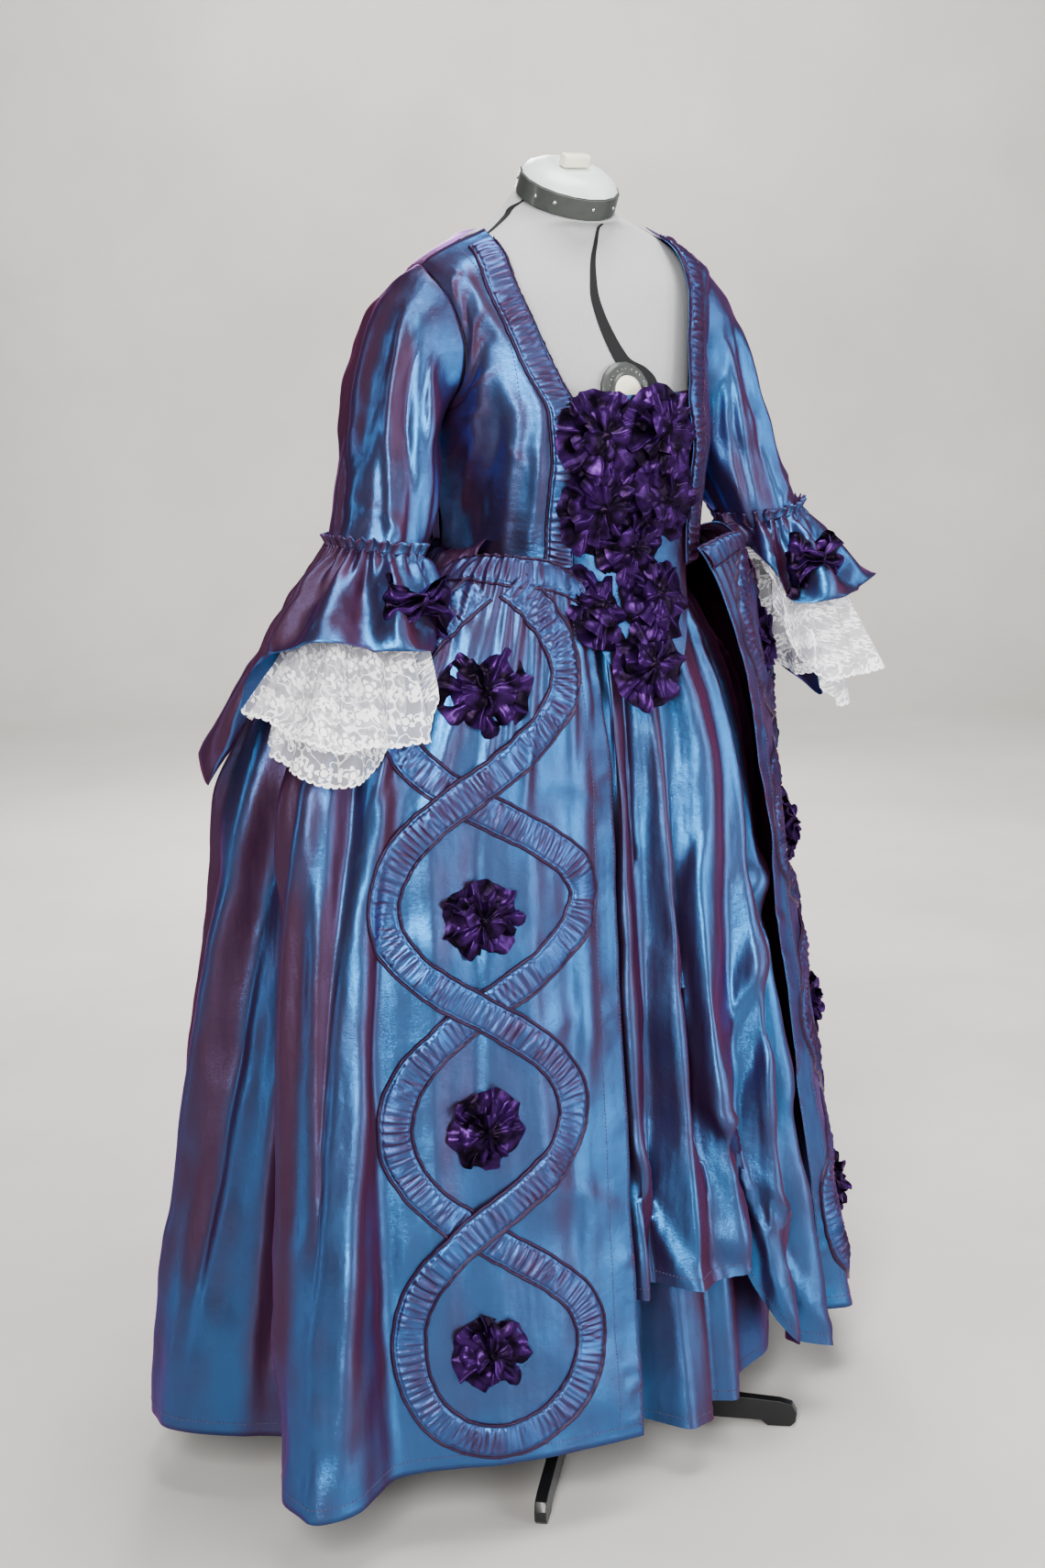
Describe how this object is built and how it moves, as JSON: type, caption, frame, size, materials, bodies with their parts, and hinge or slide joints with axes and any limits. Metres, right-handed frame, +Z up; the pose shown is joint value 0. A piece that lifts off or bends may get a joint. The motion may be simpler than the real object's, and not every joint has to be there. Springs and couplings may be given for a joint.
{
  "type": "robe a la francaise on a dress form with stand",
  "caption": "Open-fronted sack-back gown with ruched ribbon, rosettes and lace cuffs over petticoats, on a limbless dress form that stands on splayed feet.",
  "frame": {"origin": "middle of the footprint, on the floor under the feet", "axes": "+Z up; the wearer faces -Y, so the wearer's right side is at -X and the sack back at +Y"},
  "size_m": [1.003, 0.6912, 1.528],
  "materials": {
    "shot_taffeta": "crisp taffeta, shot blue over maroon",
    "ruched_taffeta": "gathered shot taffeta with corded edges",
    "rosette_taffeta": "crumpled dark violet taffeta",
    "lace": "white flowered net lace",
    "form_jersey": "grey knitted cover",
    "cap_plastic": "pale moulded",
    "knob_plastic": "cream moulded",
    "collar_plastic": "dark grey, satin",
    "stand_paint": "black, satin"
  },
  "bodies": {
    "root": {"bodice_back": "shot_taffeta", "bodice_left": "shot_taffeta", "bodice_right": "shot_taffeta", "bow_left": "rosette_taffeta", "bow_right": "rosette_taffeta", "cuff_left": "shot_taffeta", "cuff_right": "shot_taffeta", "form_band": "collar_plastic", "form_body": "form_jersey", "form_cap": "cap_plastic", "form_dial": "collar_plastic", "form_knob": "knob_plastic", "lace_lower_left": "lace", "lace_lower_right": "lace", "lace_upper_left": "lace", "lace_upper_right": "lace", "petticoat": "shot_taffeta", "robing_left": "ruched_taffeta", "robing_right": "ruched_taffeta", "rosette_front_1": "rosette_taffeta", "rosette_front_2": "rosette_taffeta", "rosette_front_3": "rosette_taffeta", "rosette_front_4": "rosette_taffeta", "rosette_front_5": "rosette_taffeta", "rosette_front_6": "rosette_taffeta", "rosette_front_7": "rosette_taffeta", "rosette_front_8": "rosette_taffeta", "rosette_left_1": "rosette_taffeta", "rosette_left_2": "rosette_taffeta", "rosette_left_3": "rosette_taffeta", "rosette_left_4": "rosette_taffeta", "rosette_right_1": "rosette_taffeta", "rosette_right_2": "rosette_taffeta", "rosette_right_3": "rosette_taffeta", "rosette_right_4": "rosette_taffeta", "sack_back": "shot_taffeta", "serpentine_left": "ruched_taffeta", "serpentine_right": "ruched_taffeta", "skirt_left": "shot_taffeta", "skirt_right": "shot_taffeta", "sleeve_left": "shot_taffeta", "sleeve_right": "shot_taffeta", "stand_hub": "stand_paint", "stand_leg_1": "stand_paint", "stand_leg_2": "stand_paint", "stand_leg_3": "stand_paint", "stand_leg_4": "stand_paint", "stand_pole": "stand_paint", "stomacher": "shot_taffeta", "underskirt": "shot_taffeta", "waist_band_left": "ruched_taffeta", "waist_band_right": "ruched_taffeta"}
  },
  "joints": []
}
